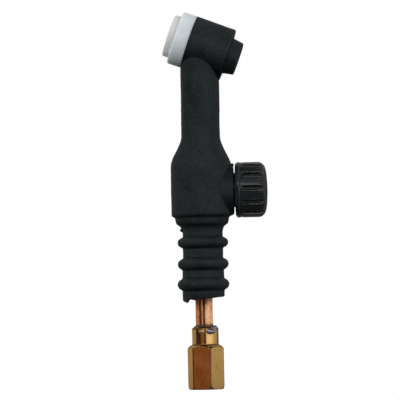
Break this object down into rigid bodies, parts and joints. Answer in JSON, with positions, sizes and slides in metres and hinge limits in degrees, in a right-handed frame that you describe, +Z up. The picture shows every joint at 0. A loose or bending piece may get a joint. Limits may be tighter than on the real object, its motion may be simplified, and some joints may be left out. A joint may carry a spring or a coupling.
{
  "type": "tig torch",
  "caption": "Air-cooled TIG torch body with a ribbed rubber tail, gas valve knob, bendable neck, angled head with a white gasket, and a hexagonal brass cable fitting.",
  "frame": {"origin": "centre of the mouth of the cable fitting's threaded socket, on the torch's axis", "axes": "+Z up the torch from the cable fitting to the head; +X the way the valve knob points; the nozzle end of the head points along -X and 20 degrees up"},
  "size_m": [0.0398, 0.024, 0.1471],
  "materials": {
    "rubber": "matte moulded",
    "knob_plastic": "satin moulded",
    "white_ptfe": "satin, slightly translucent",
    "brass": "machined",
    "copper": "drawn, heat-stained",
    "solder": "solidified silver solder",
    "seal_rubber": "smooth"
  },
  "bodies": {
    "torch_body": {"cable_fitting": "brass", "gas_tube": "copper", "power_rod": "copper", "solder_fillet": "solder", "valve_housing": "rubber", "valve_body": "brass", "lower_ferrule": "copper"},
    "stem_seal": {"stem_o_ring": "seal_rubber"},
    "knob": {"valve_stem": "brass", "valve_knob": "knob_plastic"},
    "neck_link_1": {"neck_sleeve_1": "rubber", "flex_link_1": "copper"},
    "neck_link_2": {"neck_sleeve_2": "rubber", "flex_link_2": "copper"},
    "neck_link_3": {"neck_sleeve_3": "rubber", "flex_link_3": "copper"},
    "neck_link_4": {"neck_sleeve_4": "rubber", "flex_link_4": "copper"},
    "neck_link_5": {"neck_sleeve_5": "rubber", "flex_link_5": "copper"},
    "torch_head": {"upper_ferrule": "copper", "head_block": "brass", "head_cover": "rubber", "cup_gasket": "white_ptfe"}
  },
  "joints": [
    {"name": "stem_travel", "type": "slide", "parent": "torch_body", "child": "stem_seal", "axis": [1, 0, 0], "range_m": [0, 0.0015]},
    {"name": "knob_turn", "type": "hinge", "parent": "stem_seal", "child": "knob", "pos_m": [0, 0, 0.0774], "axis": [1, 0, 0], "range_deg": [0, 540]},
    {"name": "neck_bend_1", "type": "hinge", "parent": "torch_body", "child": "neck_link_1", "pos_m": [0, 0, 0.099], "axis": [0, 1, 0], "range_deg": [-15, 15]},
    {"name": "neck_bend_2", "type": "hinge", "parent": "neck_link_1", "child": "neck_link_2", "pos_m": [0, 0, 0.1025], "axis": [0, 1, 0], "range_deg": [-15, 15]},
    {"name": "neck_bend_3", "type": "hinge", "parent": "neck_link_2", "child": "neck_link_3", "pos_m": [0, 0, 0.106], "axis": [0, 1, 0], "range_deg": [-15, 15]},
    {"name": "neck_bend_4", "type": "hinge", "parent": "neck_link_3", "child": "neck_link_4", "pos_m": [0, 0, 0.1095], "axis": [0, 1, 0], "range_deg": [-15, 15]},
    {"name": "neck_bend_5", "type": "hinge", "parent": "neck_link_4", "child": "neck_link_5", "pos_m": [0, 0, 0.113], "axis": [0, 1, 0], "range_deg": [-15, 15]},
    {"name": "neck_bend_6", "type": "hinge", "parent": "neck_link_5", "child": "torch_head", "pos_m": [0, 0, 0.1165], "axis": [0, 1, 0], "range_deg": [-15, 15]}
  ],
  "couplings": [
    {"joint": "knob_turn", "follows": "stem_travel", "rad_per_m": 6283.2},
    {"joint": "neck_bend_2", "follows": "neck_bend_1", "ratio": 1},
    {"joint": "neck_bend_3", "follows": "neck_bend_1", "ratio": 1},
    {"joint": "neck_bend_4", "follows": "neck_bend_1", "ratio": 1},
    {"joint": "neck_bend_5", "follows": "neck_bend_1", "ratio": 1},
    {"joint": "neck_bend_6", "follows": "neck_bend_1", "ratio": 1}
  ]
}
